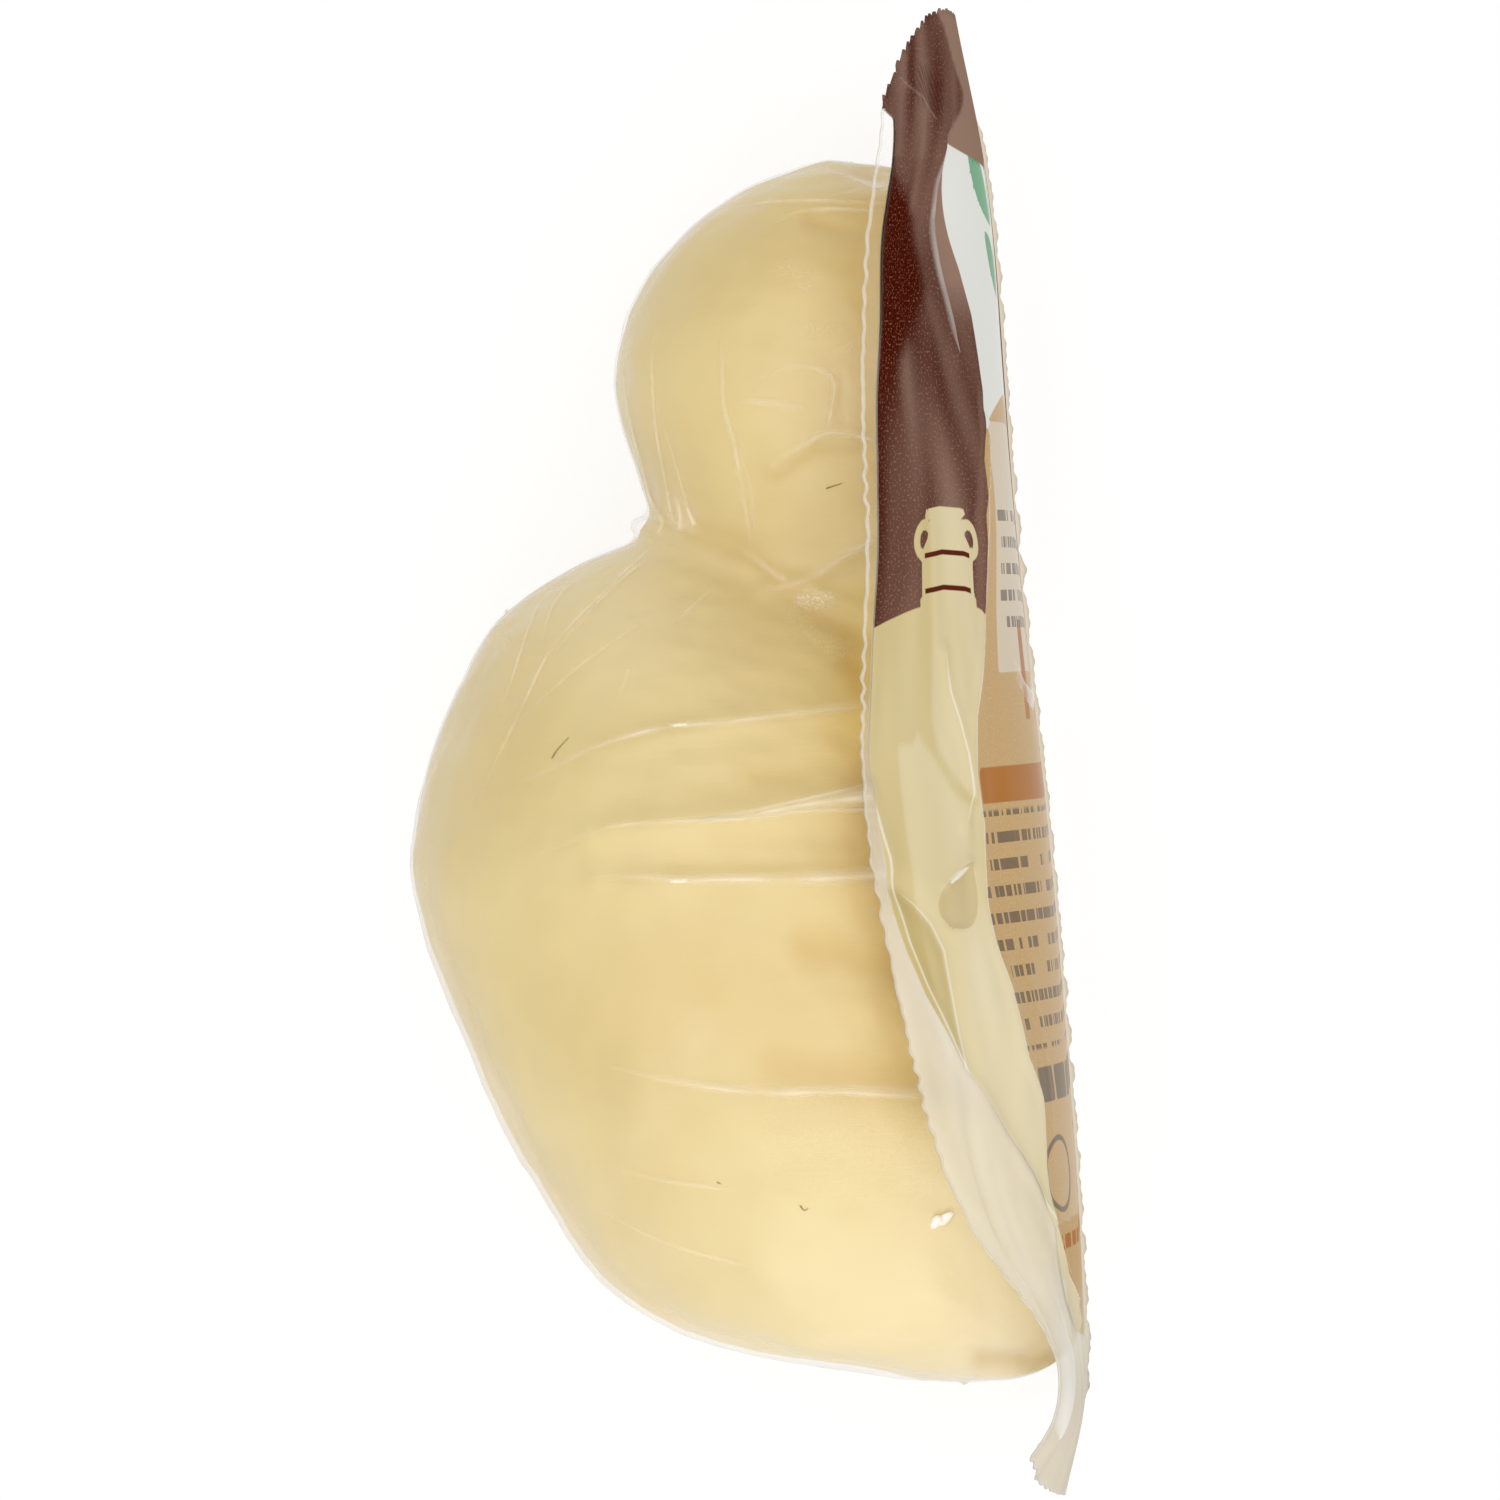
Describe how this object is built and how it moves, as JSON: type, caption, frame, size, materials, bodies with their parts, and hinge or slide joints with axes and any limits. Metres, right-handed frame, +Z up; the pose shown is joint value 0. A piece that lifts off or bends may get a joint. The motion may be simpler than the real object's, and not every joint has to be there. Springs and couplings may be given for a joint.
{
  "type": "smoked scamorza",
  "caption": "Smoked scamorza cheese, a round head tied off from a pear-shaped body, vacuum packed in clear film on a printed lid film with a pinked rim, lying on its side.",
  "frame": {"origin": "on the table, under the middle of the pack's box as it lies on its side", "axes": "+X out of the printed lid, +Y along the pack towards the cheese's head, +Z up, out of the side that is shown"},
  "size_m": [0.0642, 0.1456, 0.0718],
  "materials": {
    "film_wrapped_cheese": "cream-yellow cheese under a tight clear film",
    "cheese": "smooth, waxy, faintly translucent",
    "clear_film": "clear, glossy, shrunk tight, with fine folds",
    "printed_film": "glossy film, brown and cream print, clear pinked margin"
  },
  "bodies": {
    "root": {"scamorza_in_clear_film": "film_wrapped_cheese", "printed_lid_film": "printed_film"}
  },
  "joints": []
}
